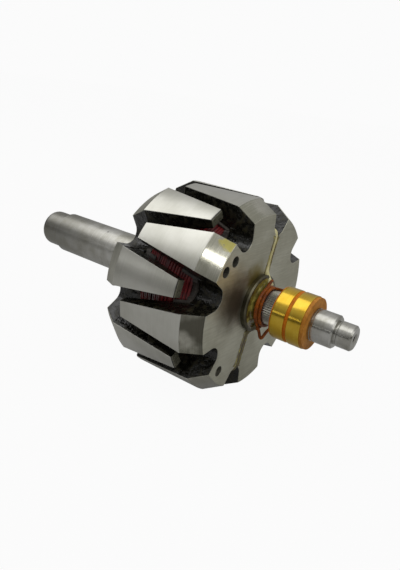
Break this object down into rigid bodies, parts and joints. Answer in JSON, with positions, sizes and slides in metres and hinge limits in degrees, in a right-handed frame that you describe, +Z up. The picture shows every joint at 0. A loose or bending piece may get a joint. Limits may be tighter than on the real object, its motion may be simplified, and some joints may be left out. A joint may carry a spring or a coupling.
{
  "type": "alternator rotor",
  "caption": "Claw-pole alternator rotor with ground steel claws, a red field winding, brass slip rings and a stepped steel shaft",
  "frame": {"origin": "on the shaft's axis, halfway along the shaft", "axes": "+X along the shaft, from the pulley end towards the slip rings; +Y across the shaft, level; +Z up, with the rotor lying on a bench"},
  "size_m": [0.2152, 0.1066, 0.1066],
  "materials": {
    "turned_steel": "turned",
    "forged_steel": "forged, ground outside",
    "dark_steel": "varnished",
    "bobbin_plastic": "moulded",
    "enamelled_wire": "enamelled",
    "insulating_resin": "moulded",
    "ring_brass": "polished",
    "sleeve_plastic": "woven, varnished",
    "lead_wire": "enamelled",
    "set_varnish": "glossy, brushed on"
  },
  "bodies": {
    "root": {"shaft": "turned_steel", "ring_end_pole": "forged_steel", "drive_end_pole": "forged_steel", "ring_end_collar": "dark_steel", "drive_end_spacer": "turned_steel", "hub_varnish": "set_varnish", "ring_end_flange": "bobbin_plastic", "drive_end_flange": "bobbin_plastic", "bobbin_tube": "bobbin_plastic", "field_coil": "enamelled_wire", "slip_ring_sleeve": "insulating_resin", "inner_insulator": "insulating_resin", "inner_slip_ring": "ring_brass", "ring_separator": "insulating_resin", "outer_slip_ring": "ring_brass", "outer_insulator": "insulating_resin", "upper_lead_sleeve": "sleeve_plastic", "lower_lead_sleeve": "sleeve_plastic", "upper_lead": "lead_wire", "lower_lead": "lead_wire"}
  },
  "joints": []
}
